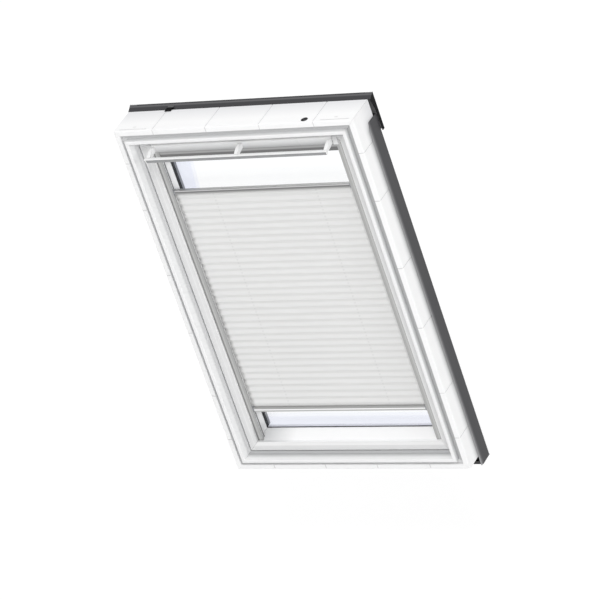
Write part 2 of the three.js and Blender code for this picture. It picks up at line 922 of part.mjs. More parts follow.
// Lock: a case with a bolt in the sash's top, and a keeper in the frame's head, open to the room
const lockTop = -sashOuter - contactGap;
const boltHalf = boltWidth / 2;
const boltTop = -sashOuter + boltReach;
addPiece(
  "lock_case",
  cut(
    block(
      -sashOuter - lockHeight,
      lockTop,
      lockDepthStart,
      lockDepthStart + lockDepth,
      -lockWidth / 2,
      lockWidth / 2,
    ),
    [block(
      boltTop - boltLength - boltTravel - boltClearance,
      lockTop + cutOverrun,
      boltDepth - boltClearance,
      boltDepth + boltThickness + boltClearance,
      -boltHalf - boltClearance,
      boltHalf + boltClearance,
    )],
  ),
  zincMetal,
  stations.top,
);
const boltOutline = outline([
  [boltTop - boltLength, boltDepth],
  [boltTop - boltLength, boltDepth + boltThickness],
  [boltTop, boltDepth + boltThickness, boltThickness / 4],
  [boltTop, boltDepth, boltThickness / 4],
]);
addPiece("latch_bolt", prism(boltOutline, () => boltHalf), zincMetal, stations.top);

const keeperFace = -frameInset + contactGap;
const keeperTop = keeperFace + keeperHeight - contactGap;
addPiece(
  "lock_keeper",
  cut(
    block(
      keeperFace,
      keeperTop,
      frameLedgeDepth + contactGap,
      keeperBack,
      -keeperWidth / 2,
      keeperWidth / 2,
    ),
    [block(
      keeperFace - cutOverrun,
      keeperFace + keeperSlotHeight,
      frameLedgeDepth - cutOverrun,
      keeperStopDepth,
      -boltHalf - keeperSlotSide,
      boltHalf + keeperSlotSide,
    )],
  ),
  zincMetal,
  stations.top,
);

// Ventilation flap: a barrel with a plate that leans on the sash's top, turning on two end pins
const flapShape = new THREE.Shape();
flapShape.absarc(flapPivotDepth, flapPivotHeight, flapBarrelRadius, 0, -Math.PI, true);
flapShape.lineTo(flapPivotDepth - flapFront, flapPivotHeight + flapBarrelRadius);
flapShape.lineTo(flapPivotDepth - flapFront, flapPivotHeight + flapHeight - flapNose);
flapShape.quadraticCurveTo(
  flapPivotDepth - flapFront,
  flapPivotHeight + flapHeight,
  flapPivotDepth,
  flapPivotHeight + flapHeight,
);
flapShape.lineTo(flapPivotDepth + flapBack, flapPivotHeight + flapHeight);
flapShape.lineTo(flapPivotDepth + flapBack, flapPivotHeight + flapBarrelRadius);
flapShape.closePath();
addPiece(
  "vent_flap",
  join([
    prism(flapShape, () => flapHalfLength, arcSteps * 2),
    rodAlongZ(
      flapPinRadius,
      flapPivotDepth,
      flapPivotHeight,
      -flapHalfLength - flapPinLength,
      flapHalfLength + flapPinLength,
      roundSides / 2,
    ),
  ]),
  whiteMetal,
  crosswise,
);

// Control bar on three brackets, clear of the flap by a hand's depth
const barFront = flapPivotDepth - barReach;
const barBack = barFront + barDepth;
const barTop = flapPivotHeight + flapHeight - bracketTopDrop - barDrop;
const barBottom = barTop - barHeight;
const barCorners = [
  [barBack, barTop, barRound / 2],
  [barFront, barTop, barRound],
  [barFront, barTop - barFaceHeight, barRound / 4],
  [barFront + barUndercut, barTop - barFaceHeight - barRound / 4],
  [barFront + barUndercut, barBottom, barRound / 2],
  [barBack, barBottom, barRound],
];
const barOutline = outline(barCorners);
addPiece("control_bar", prism(barOutline, () => barHalfLength - barCapLength - contactGap), whiteMetal, crosswise);
addPiece(
  "bar_cap_left",
  prismBetween(barOutline, -barHalfLength, -barHalfLength + barCapLength),
  whitePlastic,
  crosswise,
);
addPiece(
  "bar_cap_right",
  prismBetween(barOutline, barHalfLength - barCapLength, barHalfLength),
  whitePlastic,
  crosswise,
);

const rootFace = flapPivotDepth - flapFront - contactGap;
const rootTop = flapPivotHeight + flapHeight - flapNose;
const tipFace = barBack + contactGap;
const tipTop = barTop - bracketTipDrop - barRound / 2;
const spanMiddle = (rootFace + tipFace) / 2;
const bracketShape = new THREE.Shape();
bracketShape.moveTo(rootFace, rootTop);
bracketShape.quadraticCurveTo(spanMiddle, rootTop, tipFace, tipTop);
bracketShape.lineTo(tipFace, tipTop - bracketTipHeight);
bracketShape.quadraticCurveTo(
  spanMiddle,
  tipTop - bracketTipHeight + bracketSag,
  rootFace,
  rootTop - bracketRootHeight,
);
bracketShape.closePath();
for (const [name, share] of Object.entries(bracketShares)) {
  const middle = share * (flapHalfLength - bracketWidth / 2);
  addPiece(
    `bar_bracket_${name}`,
    prismBetween(bracketShape, middle - bracketWidth / 2, middle + bracketWidth / 2),
    whitePlastic,
    crosswise,
  );
}

// Blind: side channels whose ends follow the sash's splayed reveal
const channelOutline = outline([
  [channelOuter, channelStart],
  [channelOuter, revealStart],
  [channelBackCorner, channelBack],
  [channelInner, channelBack],
  [channelInner, slotMiddle + channelSlot / 2],
  [channelInner + channelLip, slotMiddle + channelSlot / 2],
  [channelInner + channelLip, channelBack - channelWall],
  [chamberOuter, channelBack - channelWall],
  [chamberOuter, channelStart + channelWall],
  [channelInner + channelLip, channelStart + channelWall],
  [channelInner + channelLip, slotMiddle - channelSlot / 2],
  [channelInner, slotMiddle - channelSlot / 2],
  [channelInner, channelStart],
]);
function channelEnd(outward, depth) {
  return halfHeight - sashInner - contactGap - revealSplay * (depth - channelStart);
}

const shoeBlockEnd = chamberOuter - contactGap;
const shoeBlockStart = channelInner + channelLip + shoeBlockSetBack;
const cordOutward = (shoeBlockEnd + shoeBlockStart) / 2;
for (const name of ["left", "right"]) {
  addPiece(`side_channel_${name}`, prism(channelOutline, channelEnd), satinMetal, stations[name]);
  const cordHalf = channelEnd(0, channelBack);
  addPiece(
    `tension_cord_${name}`,
    rodAlongZ(tensionCordRadius, cordOutward, slotMiddle, -cordHalf, cordHalf, roundSides / 4),
    whiteCord,
    stations[name],
  );
}

// Blind: the top profile between the channels
const railBack = railStart + railDepth;
const railMiddle = (railStart + railBack) / 2;
const topProfileTop = halfHeight - sashInner - revealSplay * (railBack - revealStart) - contactGap;
const topProfileOutline = outline([
  [railStart, topProfileTop - topProfileHeight, railRound],
  [railStart, topProfileTop],
  [railBack, topProfileTop],
  [railBack, topProfileTop - topProfileHeight, railRound],
  [railMiddle + topProfileGroove, topProfileTop - topProfileHeight],
  [railMiddle + topProfileGroove, topProfileTop - topProfileHeight + topProfileGroove],
  [railMiddle - topProfileGroove, topProfileTop - topProfileHeight + topProfileGroove],
  [railMiddle - topProfileGroove, topProfileTop - topProfileHeight],
]);
addPiece("blind_top_profile", prism(topProfileOutline, () => railHalfLength), satinMetal, crosswise);

// Blind: two rails, each with a slot for the cloth and a shoe at each end
function railOutline({ base, hand, height: top }) {
  const at = (height) => base + hand * height;
  const slotFront = railMiddle - railSlotWidth / 2;
  const slotBack = railMiddle + railSlotWidth / 2;
  const grooveLow = top / 3;
  return outline([
    [slotFront, at(0)],
    [slotFront, at(railSlotDepth)],
    [slotBack, at(railSlotDepth)],
    [slotBack, at(0)],
    [railBack, at(0), railRound],
    [railBack, at(top), railRound],
    [railStart, at(top), railRound],
    [railStart, at(grooveLow + railGroove)],
    [railStart + railGroove, at(grooveLow + railGroove)],
    [railStart + railGroove, at(grooveLow)],
    [railStart, at(grooveLow)],
    [railStart, at(0), railRound],
  ]);
}

const shoeInner = channelInner - contactGap - shoePlate;
const shoeNeck = channelSlot / 2 - shoeClearance;
const shoeBlock = channelDepth / 2 - channelWall - shoeClearance;
const shoeHole = new THREE.Path();
shoeHole.absarc(cordOutward, slotMiddle, tensionCordRadius + cordHoleClearance, 0, Math.PI * 2, true);
const shoeShape = outline([
  [shoeInner, railStart],
  [channelInner - contactGap, railStart],
  [channelInner - contactGap, slotMiddle - shoeNeck],
  [shoeBlockStart, slotMiddle - shoeNeck],
  [shoeBlockStart, slotMiddle - shoeBlock],
  [shoeBlockEnd, slotMiddle - shoeBlock],
  [shoeBlockEnd, slotMiddle + shoeBlock],
  [shoeBlockStart, slotMiddle + shoeBlock],
  [shoeBlockStart, slotMiddle + shoeNeck],
  [channelInner - contactGap, slotMiddle + shoeNeck],
  [channelInner - contactGap, railBack],
  [shoeInner, railBack],
]);
shoeShape.holes.push(shoeHole);

const rails = {
  upper: { base: upperRailBottom, hand: 1, height: upperRailHeight },
  lower: { base: lowerRailTop, hand: -1, height: lowerRailHeight },
};
const barePart = railHalfLength - shoePlate - contactGap;
for (const [name, rail] of Object.entries(rails)) {
  addPiece(`${name}_rail`, prism(railOutline(rail), () => barePart), satinMetal, crosswise);
  const heights = [rail.base, rail.base + rail.hand * rail.height];
  for (const side of ["left", "right"]) {
    const flip = side === "right" ? 1 : -1;
    const ends = heights.map((height) => flip * height);
    addPiece(
      `${name}_shoe_${side}`,
      prismBetween(shoeShape, Math.min(...ends), Math.max(...ends)),
      greyPlastic,
      stations[side],
    );
  }
}

// Blind: pleated cloth in two halves, each folded between its rail and the middle of the cloth
const clothHalf = halfWidth + channelInner - clothSideGap;
const foldFront = railMiddle - clothFoldDepth / 2;

function pleatedCloth(railEdge, hand) {
  const start = railEdge - hand * contactGap;
  const stop = clothMiddle + hand * contactGap / 2;
  const step = (stop - start) / facetCount;
  const tabFront = railMiddle - tabThickness / 2;
  const tabBack = railMiddle + tabThickness / 2;
  const tabEnd = railEdge + hand * tabLength;
  const front = [];
  const back = [];
  for (let fold = 1; fold <= facetCount; fold += 1) {
    const depth = fold % 2 ? foldFront : foldFront + clothFoldDepth;
    front.push([depth, start + fold * step]);
    back.unshift([depth + clothSheet, start + fold * step]);
  }
  const folds = outline([[tabBack, start], [tabFront, start], ...front, ...back]);
  const tab = outline([
    [tabBack, tabEnd],
    [tabFront, tabEnd],
    [tabFront, start - hand * contactGap],
    [tabBack, start - hand * contactGap],
  ]);
  return join([prism(folds, () => clothHalf), prism(tab, () => barePart)]);
}

for (const [name, rail] of Object.entries(rails)) {
  addPiece(`cloth_${name}`, pleatedCloth(rail.base, rail.hand), whiteCloth, crosswise);
}

export default object;
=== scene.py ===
import bpy
import bmesh
import math
from mathutils import Matrix, Vector, noise


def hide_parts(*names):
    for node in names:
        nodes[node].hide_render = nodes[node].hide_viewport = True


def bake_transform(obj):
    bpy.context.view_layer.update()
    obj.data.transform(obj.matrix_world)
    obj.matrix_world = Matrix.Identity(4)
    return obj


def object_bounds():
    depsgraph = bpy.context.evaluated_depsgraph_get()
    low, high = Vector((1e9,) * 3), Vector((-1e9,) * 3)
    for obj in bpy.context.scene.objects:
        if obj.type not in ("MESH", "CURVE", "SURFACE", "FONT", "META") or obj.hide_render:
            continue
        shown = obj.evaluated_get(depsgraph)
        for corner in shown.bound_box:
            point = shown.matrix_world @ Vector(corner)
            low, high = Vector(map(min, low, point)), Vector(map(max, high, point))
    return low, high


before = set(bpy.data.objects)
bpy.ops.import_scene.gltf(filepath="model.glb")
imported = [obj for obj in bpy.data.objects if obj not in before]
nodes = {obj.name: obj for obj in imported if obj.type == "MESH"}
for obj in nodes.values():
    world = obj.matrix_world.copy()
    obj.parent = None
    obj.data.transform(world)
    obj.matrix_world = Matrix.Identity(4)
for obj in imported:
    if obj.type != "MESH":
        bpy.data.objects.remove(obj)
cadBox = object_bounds()
scene = bpy.context.scene
scene.view_settings.view_transform = "Standard"
mm = 0.001


# the camera stands where the window's four front corners fall on the photograph's
camera = {
    "place": (5.54365, -8.14694, 5.38018),
    "right": (0.87032798, 0.39640991, -0.29221292),
    "up": (0.02252958, 0.56068841, 0.82772032),
    "back": (0.49195694, -0.72697159, 0.47905186),
    "lens": 242.99,
    "sensor": 36.0,
    "reach": 60,
}


def makeCamera():
    lens = bpy.data.cameras.new("camera")
    lens.lens = camera["lens"]
    lens.sensor_width = camera["sensor"]
    lens.clip_end = camera["reach"]
    holder = bpy.data.objects.new("camera", lens)
    scene.collection.objects.link(holder)
    turn = Matrix((camera["right"], camera["up"], camera["back"])).transposed().to_4x4()
    holder.matrix_world = Matrix.Translation(camera["place"]) @ turn
    scene.camera = holder


makeCamera()
print("camera placed")


# a socket that takes part in sums
class Wire:
    def __init__(self, finish, socket):
        self.finish = finish
        self.socket = socket

    def maths(self, operation, other=0, swap=False):
        first, second = (other, self) if swap else (self, other)
        return self.finish.add("ShaderNodeMath", {"operation": operation}, {0: first, 1: second})

    def __add__(self, other):
        return self.maths("ADD", other)

    def __radd__(self, other):
        return self.maths("ADD", other, swap=True)

    def __sub__(self, other):
        return self.maths("SUBTRACT", other)

    def __rsub__(self, other):
        return self.maths("SUBTRACT", other, swap=True)

    def __mul__(self, other):
        return self.maths("MULTIPLY", other)

    def __rmul__(self, other):
        return self.maths("MULTIPLY", other, swap=True)

    def __truediv__(self, other):
        return self.maths("DIVIDE", other)

    def __lt__(self, other):
        return self.maths("LESS_THAN", other)

    def __gt__(self, other):
        return self.maths("GREATER_THAN", other)

    def __abs__(self):
        return self.maths("ABSOLUTE")

    # one between two values, nought beside them
    def between(self, low, high):
        return (self > low) * (self < high)

    # the larger of two, which is one where either of two masks is
    def either(self, other):
        return self.maths("MAXIMUM", other)


# the sockets that a mix of two colours uses
mixSockets = {"share": 0, "first": 6, "second": 7, "result": 2}


class Wiring:
    def __init__(self, tree, ending):
        self.tree = tree
        self.tree.nodes.clear()
        self.output = self.tree.nodes.new(ending)

    # settings come first, a ramp's stops among them; then values or wires for the sockets
    def add(self, kind, settings=None, sockets=None, output=0):
        node = self.tree.nodes.new(kind)
        for key, value in (settings or {}).items():
            if key == "stops":
                ramp = node.color_ramp
                while len(ramp.elements) < len(value):
                    ramp.elements.new(0.5)
                for element, (place, shade) in zip(ramp.elements, value):
                    element.position = place
                    element.color = (shade, shade, shade, 1)
            else:
                setattr(node, key, value)
        for key, value in (sockets or {}).items():
            if isinstance(value, Wire):
                self.tree.links.new(value.socket, node.inputs[key])
            else:
                node.inputs[key].default_value = value
        return Wire(self, node.outputs[output])

    def finishWith(self, wire):
        self.tree.links.new(wire.socket, self.output.inputs["Surface"])

    # one on the camera's, mirrored and bent rays, and nought on the light's own
    def seenDirectly(self):
        rays = [self.add("ShaderNodeLightPath", output=name)
                for name in ("Is Camera Ray", "Is Glossy Ray", "Is Transmission Ray")]
        return rays[0].either(rays[1]).either(rays[2])


shaderSockets = {
    "colour": "Base Color", "roughness": "Roughness", "metallic": "Metallic", "normal": "Normal",
    "sheen": "Sheen Weight", "sheenRoughness": "Sheen Roughness", "specular": "Specular IOR Level",
}


class Finish(Wiring):
    def __init__(self, name):
        self.material = bpy.data.materials.new(name)
        self.material.use_nodes = True
        super().__init__(self.material.node_tree, "ShaderNodeOutputMaterial")
        self.shader = self.tree.nodes.new("ShaderNodeBsdfPrincipled")
        self.tree.links.new(self.shader.outputs[0], self.output.inputs["Surface"])

    # constants and wires for the shader's own sockets
    def surface(self, **sockets):
        for key, value in sockets.items():
            socket = self.shader.inputs[shaderSockets[key]]
            if isinstance(value, Wire):
                self.tree.links.new(value.socket, socket)
            else:
                socket.default_value = value
        return self.material

    # where the surface lies, on all three axes or on one, in metres
    def place(self, scale=(1, 1, 1)):
        where = self.add("ShaderNodeTexCoord", output="Object")
        return self.add("ShaderNodeMapping", None, {"Vector": where, "Scale": scale})

    def along(self, axis):
        where = self.add("ShaderNodeTexCoord", output="Object")
        return self.add("ShaderNodeSeparateXYZ", None, {"Vector": where}, output=axis)

    def cloud(self, scale, detail=2.0, roughness=0.5, stretch=(1, 1, 1)):
        sockets = {"Vector": self.place(stretch), "Scale": scale, "Detail": detail,
                   "Roughness": roughness}
        return self.add("ShaderNodeTexNoise", None, sockets)

    def cells(self, scale, output="Distance"):
        sockets = {"Vector": self.place(), "Scale": scale}
        return self.add("ShaderNodeTexVoronoi", None, sockets, output=output)

    def ramp(self, wire, stops):
        return self.add("ShaderNodeValToRGB", {"stops": stops}, {"Fac": wire})

    # each tone is a wire or three numbers
    def blend(self, share, first, second):
        sockets = {mixSockets["share"]: share}
        for key, tone in (("first", first), ("second", second)):
            sockets[mixSockets[key]] = (*tone, 1) if isinstance(tone, tuple) else tone
        settings = {"data_type": "RGBA"}
        return self.add("ShaderNodeMix", settings, sockets, output=mixSockets["result"])

    # climbs from nought at the first place to one at the second
    def climb(self, wire, first, second):
        sockets = {"Value": wire, "From Min": first, "From Max": second}
        return self.add("ShaderNodeMapRange", {"clamp": True}, sockets)

    def bump(self, height, strength, distance):
        sockets = {"Height": height, "Strength": strength, "Distance": distance}
        return self.add("ShaderNodeBump", None, sockets)


# places are in metres: X to the right, Y away from the room, Z up; an outward place counts from
# the rectangle of the frame's front edge, and is less than nought inside it
window = {"halfWidth": 0.3465, "halfHeight": 0.5455, "headFoot": 0.52}


def overhang(finish):
    wide = abs(finish.along("X")) - window["halfWidth"]
    high = abs(finish.along("Z")) - window["halfHeight"]
    return wide, high


def outwardPlace(finish):
    wide, high = overhang(finish)
    return wide.either(high)


# one on the left and the right members, nought on the top and the bottom ones
def onSides(finish):
    wide, high = overhang(finish)
    return wide > high


# painted shade in the lining groove round the frame, darker at the top and right, away from the
# light
groove = {
    "outward": (-0.0004, 0.0139),
    "depth": (0.0005, 0.018),
    "left": 0.5,
    "right": 0.9,
    "bottom": 0.3,
    "top": 0.65,
}


# from nought at the groove's mouth to its side's own share on the floor
def grooveShade(finish):
    sideways = onSides(finish)
    atSides = groove["left"] + (groove["right"] - groove["left"]) * (finish.along("X") > 0)
    atEnds = groove["bottom"] + (groove["top"] - groove["bottom"]) * (finish.along("Z") > 0)
    share = sideways * atSides + (1 - sideways) * atEnds
    inside = outwardPlace(finish).between(*groove["outward"])
    return inside * finish.climb(finish.along("Y"), *groove["depth"]) * share


# painted shade on the lacquer: the frame's slope, the sash beside the gap, a line on the left
lacquerShade = {
    "tone": (0.46, 0.465, 0.47),
    "slope": (-0.0235, -0.0095),
    "slopeBack": 0.0295,
    "slopeClimb": (0.017, 0.0305),
    "endsLead": 0.008,  # the top and the bottom darken from nearer the front
    "sashOuter": -0.026,
    "sashBack": 0.032,
    "sashClimb": (-0.056, -0.0262),
    "sashShare": 0.5,
    "rightLess": 0.4,
    "line": (-0.0478, -0.0395),
    "lineBack": 0.0375,
    "lineShare": 0.3,
}


# painted shade, less on the right towards the light; the groove's painted shade takes its tone too
def slopeAndGapShade(finish):
    outward, depth, across = outwardPlace(finish), finish.along("Y"), finish.along("X")
    sideways = onSides(finish)
    slope = outward.between(*lacquerShade["slope"]) * (depth < lacquerShade["slopeBack"])
    lead = lacquerShade["endsLead"] * (1 - sideways)
    slope = slope * finish.climb(depth + lead, *lacquerShade["slopeClimb"])
    sash = (outward < lacquerShade["sashOuter"]) * (depth < lacquerShade["sashBack"])
    sash = sash * finish.climb(outward, *lacquerShade["sashClimb"])
    kept = 1 - lacquerShade["rightLess"] * sideways * (across > 0)
    line = sideways * (across < 0) * outward.between(*lacquerShade["line"]) * (depth < lacquerShade["lineBack"])
    belowHead = finish.along("Z") < window["headFoot"]
    return belowHead * (kept * (slope + lacquerShade["sashShare"] * sash) + lacquerShade["lineShare"] * line)


lacquer = {
    "frame": {"light": (0.87, 0.872, 0.875), "dark": (0.845, 0.848, 0.851), "roughness": 0.34},
    # the sash's lacquer is the frame's, painted darker as shade on the sash, which lies back from
    # the frame
    "sash": {"light": (0.805, 0.806, 0.807), "dark": (0.78, 0.781, 0.782), "roughness": 0.3},
    "specular": 0.4,
    "revealOuter": -0.0472,
    "revealFront": 0.038,
    "revealLitTone": (0.96, 0.96, 0.962),
    "cornerAcross": (-0.175, -0.262),
    "cornerHigh": (-0.43, -0.46),
    "cornerShadowTone": (0.62, 0.625, 0.63),
    "cornerShadowShare": 0.9,
    "gapOuter": -0.0234,
    "gapFront": 0.0297,
    "headLow": 0.515,
    "headLitTone": (0.97, 0.97, 0.97),
    "gapShadowInner": -0.0257,
    "gapShadowHigh": -0.52,
    "gapShadowClimb": (0.05, 0.031),
    "gapShadowTone": (0.08, 0.08, 0.08),
}


# the drift of a lacquer's tone, and its skin
def lacquerGrain(finish):
    drift = finish.cloud(scale=5.0, detail=3.0)
    skin = finish.bump(finish.cloud(scale=420.0), strength=0.12, distance=0.2 * mm)
    return drift, skin


def whiteLacquer(member):
    finish = Finish(f"{member} lacquer")
    own = lacquer[member]
    drift, skin = lacquerGrain(finish)
    outward, depth, high = outwardPlace(finish), finish.along("Y"), finish.along("Z")
    tone = finish.blend(drift, own["light"], own["dark"])
    tone = finish.blend(slopeAndGapShade(finish), tone, lacquerShade["tone"])
    # the splayed reveal is painted lighter, painted light from the glass, with painted shade in
    # one corner of the sill
    cornerShadow = finish.climb(finish.along("X"), *lacquer["cornerAcross"])
    cornerShadow = lacquer["cornerShadowShare"] * cornerShadow * finish.climb(high, *lacquer["cornerHigh"])
    reveal = finish.blend(cornerShadow, lacquer["revealLitTone"], lacquer["cornerShadowTone"])
    inReveal = (outward < lacquer["revealOuter"]) * (depth > lacquer["revealFront"])
    tone = finish.blend(inReveal, tone, reveal)
    # above the flap the gap's lacquer is painted near white, painted light that lifts the shade
    # there
    inGap = (outward < lacquer["gapOuter"]) * (depth > lacquer["gapFront"])
    tone = finish.blend(inGap * (high > lacquer["headLow"]), tone, lacquer["headLitTone"])
    # below the sash the gap is painted nearly black, painted shade
    gapShadow = inGap * (outward > lacquer["gapShadowInner"]) * (high < lacquer["gapShadowHigh"])
    gapShadow = gapShadow * finish.climb(depth, *lacquer["gapShadowClimb"])
    tone = finish.blend(gapShadow, tone, lacquer["gapShadowTone"])
    return finish.surface(
        colour=finish.blend(grooveShade(finish), tone, lacquerShade["tone"]),
        roughness=own["roughness"] + 0.1 * (drift - 0.5),
        normal=skin,
        specular=lacquer["specular"],
    )


# painted shade in the creases and slots that sink below the casing's outer face, or behind its
# rounded front lip
sunken = {
    "faceFront": 0.0145,
    "faceInner": 0.02,
    "faceFall": (0.0299, 0.0289),
    "lip": (0.0138, 0.0288),
    "lipFront": 0.01,
    "lipBack": 0.0132,
    "roundInner": 0.026,
    "roundness": 125,  # how fast the lip's round falls back, by the square of the way outward
    "lipFall": (0.0002, 0.0011),
}


def sunkenShade(finish):
    outward, depth = outwardPlace(finish), finish.along("Y")
    inFace = (depth > sunken["faceFront"]) * (outward > sunken["faceInner"])
    inFace = inFace * finish.climb(outward, *sunken["faceFall"])
    over = (outward - sunken["roundInner"]).either(0)
    below = depth - sunken["lipFront"] - over * over * sunken["roundness"]
    inLip = outward.between(*sunken["lip"]) * (depth < sunken["lipBack"])
    inLip = inLip * finish.climb(below, *sunken["lipFall"])
    return inFace.either(inLip)


casing = {
    "light": (0.92, 0.92, 0.92),
    "dark": (0.88, 0.88, 0.885),
    "backShadeClimb": (0.045, 0.105),
    "backShadeTone": (0.66, 0.66, 0.685),
    "backShadeShare": 0.6,
    "side": 0.3755,
    "sideShadeClimb": (0.044, 0.073),
    "sideShadeTop": (0.55, 0.5),
    "sideShadeStray": 0.004,
    "casingShadeTone": (0.3, 0.3, 0.305),
    "sunkenShare": 0.45,
    "grooveTone": (0.46, 0.46, 0.465),
    "roughness": 0.62,
    "specular": 0.3,
}


def foamCasing():
    finish = Finish("casing foam")
    depth = finish.along("Y")
    drift = finish.cloud(scale=7.0, detail=4.0, roughness=0.6)
    beads = finish.cells(scale=260.0)
    grain = finish.cloud(scale=900.0)
    # painted shade darkens the casing towards its back
    backShade = casing["backShadeShare"] * finish.climb(depth, *casing["backShadeClimb"])
    tone = finish.blend(drift, casing["light"], casing["dark"])
    tone = finish.blend(backShade, tone, casing["backShadeTone"])
    # painted shade darkens the sides towards the sheet that covers them
    sideShade = finish.climb(depth + casing["sideShadeStray"] * (drift - 0.5), *casing["sideShadeClimb"])
    sideShade = sideShade * (abs(finish.along("X")) > casing["side"])
    sideShade = sideShade * finish.climb(finish.along("Z"), *casing["sideShadeTop"])
    tone = finish.blend(sideShade * sideShade, tone, casing["casingShadeTone"])
    tone = finish.blend(casing["sunkenShare"] * sunkenShade(finish), tone, casing["casingShadeTone"])
    return finish.surface(
        colour=finish.blend(grooveShade(finish), tone, casing["grooveTone"]),
        roughness=casing["roughness"] + 0.12 * beads,
        normal=finish.bump(beads + 0.4 * grain, strength=0.15, distance=0.3 * mm),
        specular=casing["specular"],
    )


sheet = {
    "light": (0.034, 0.0335, 0.0375),
    "dark": (0.027, 0.0265, 0.03),
    "black": (0.004, 0.004, 0.0045),
    "claddingInner": 0.3765,
    "frontLightClimb": (0.087, 0.0695),
    "frontLightTone": (0.34, 0.34, 0.35),
    "roughness": 0.42,
    "metallic": 0.15,
}
clip = {"across": (-0.2565, -0.2355), "back": 0.1215, "low": 0.57}
cover = {"outward": -0.0576, "back": 0.1262, "tone": (0.42, 0.425, 0.43)}
hood = {
    "bend": 0.5795,
    "bendSoft": 0.0018,
    "bendBack": 0.137,
    "bendHighlightTone": (0.12, 0.12, 0.125),
    "strip": (0.36, 0.3815),
    "stripDepth": (0.1365, 0.1375),
    "stripLow": 0.467,
    "paintedStripTone": (0.3, 0.3, 0.305),
    "wall": 0.3815,
    "wallShadeShare": 0.8,
}


# dark grey sheet; the hood's clip is black, and its side walls are painted nearly black, painted
# shade
def darkSheet():
    finish = Finish("dark sheet")
    across, depth, high = finish.along("X"), finish.along("Y"), finish.along("Z")
    aside = abs(across)
    drift = finish.cloud(scale=4.0, detail=3.0)
    powder = finish.cloud(scale=1400.0)
    streak = finish.cloud(scale=30.0, stretch=(1, 1, 0.15))
    tone = finish.blend(drift, sheet["light"], sheet["dark"])
    # the claddings are painted lighter towards their front edge, painted light beside the white
    # casing
    frontLight = (aside > sheet["claddingInner"]) * finish.climb(depth, *sheet["frontLightClimb"])
    tone = finish.blend(frontLight * frontLight, tone, sheet["frontLightTone"])
    # the wall of the sash's cover that stands on the pane mirrors the sky
    onCover = (outwardPlace(finish) < cover["outward"]) * (depth < cover["back"])
    tone = finish.blend(onCover, tone, cover["tone"])
    # a painted highlight along the bend of the hood's top lip
    bend = finish.climb(high, hood["bend"] - hood["bendSoft"], hood["bend"])
    bend = bend * finish.climb(high, hood["bend"] + hood["bendSoft"], hood["bend"])
    tone = finish.blend(bend * (depth < hood["bendBack"]), tone, hood["bendHighlightTone"])
    # the strip of the hood's back that shows beside the casing is painted pale, painted light in
    # its deep shade
    strip = aside.between(*hood["strip"]) * depth.between(*hood["stripDepth"])
    tone = finish.blend(strip * (high > hood["stripLow"]), tone, hood["paintedStripTone"])
    onClip = across.between(*clip["across"]) * (depth < clip["back"]) * (high > clip["low"])
    # the clip's own black, and painted shade on the hood's side walls
    black = onClip + hood["wallShadeShare"] * (aside > hood["wall"])
    return finish.surface(
        colour=finish.blend(black, tone, sheet["black"]),
        roughness=sheet["roughness"] + 0.12 * streak + 0.4 * black,
        metallic=sheet["metallic"] + 0.7 * black,
        normal=finish.bump(powder, strength=0.16, distance=0.15 * mm),
    )


rubber = {"dark": (0.014, 0.014, 0.015), "light": (0.024, 0.024, 0.026), "roughness": 0.62}


def blackRubber():
    finish = Finish("black rubber")
    drift = finish.cloud(scale=60.0, detail=3.0)
    return finish.surface(
        colour=finish.blend(drift, rubber["dark"], rubber["light"]),
        roughness=rubber["roughness"] + 0.2 * drift,
        normal=finish.bump(finish.cloud(scale=900.0), strength=0.2, distance=0.2 * mm),
    )


# thin glass lets the light straight through and mirrors a little of it, more where it is seen
# edge on; a painted blue reflection tints it beside the left edge, on a slant, and beside the
# bottom one
pane = {
    "leftBand": -0.2235,
    "lean": 0.115,
    "leanFoot": 0.37,
    "lowBand": -0.4405,
    "lowShare": 0.85,
    "soft": 0.0016,
    "clear": (0.996, 0.998, 0.999, 1),
    "blueReflection": (0.957, 0.963, 0.986, 1),
    "mirror": (0.97, 0.98, 1.0, 1),
    "roughness": 0.02,
    "least": 0.025,
    "most": 0.9,
    "steepness": 5,
}


def clearGlass():
    finish = Finish("clear glass")
    high = finish.along("Z")
    across = finish.along("X") - pane["lean"] * (high - pane["leanFoot"])
    left = finish.climb(across, pane["leftBand"] + pane["soft"], pane["leftBand"] - pane["soft"])
    low = finish.climb(high, pane["lowBand"] + pane["soft"], pane["lowBand"] - pane["soft"])
    clear = finish.add("ShaderNodeBsdfTransparent", None, {"Color": pane["clear"]})
    blueReflection = finish.add("ShaderNodeBsdfTransparent", None, {"Color": pane["blueReflection"]})
    mirror = finish.add("ShaderNodeBsdfAnisotropic", None,
                        {"Color": pane["mirror"], "Roughness": pane["roughness"]})
    banded = left.either(pane["lowShare"] * low)
    through = finish.add("ShaderNodeMixShader", None, {0: banded, 1: clear, 2: blueReflection})
    edgeOn = finish.add("ShaderNodeLayerWeight", None, {"Blend": 0.5}, output="Facing")
    edgeOn = edgeOn.maths("POWER", pane["steepness"])
    share = (pane["least"] + (1 - pane["least"]) * edgeOn).maths("MINIMUM", pane["most"])
    finish.tree.nodes.remove(finish.shader)
    finish.finishWith(finish.add("ShaderNodeMixShader", None, {0: share, 1: through, 2: mirror}))
    return finish.material


# the spacer is black but for its length along the bottom, painted near white, painted light from
# the pane above it
spacer = {
    "dark": (0.02, 0.02, 0.021),
    "light": (0.03, 0.03, 0.032),
    "bottom": (0.85, 0.855, 0.87),
    "roughness": 0.5,
    "metallic": 0.3,
}


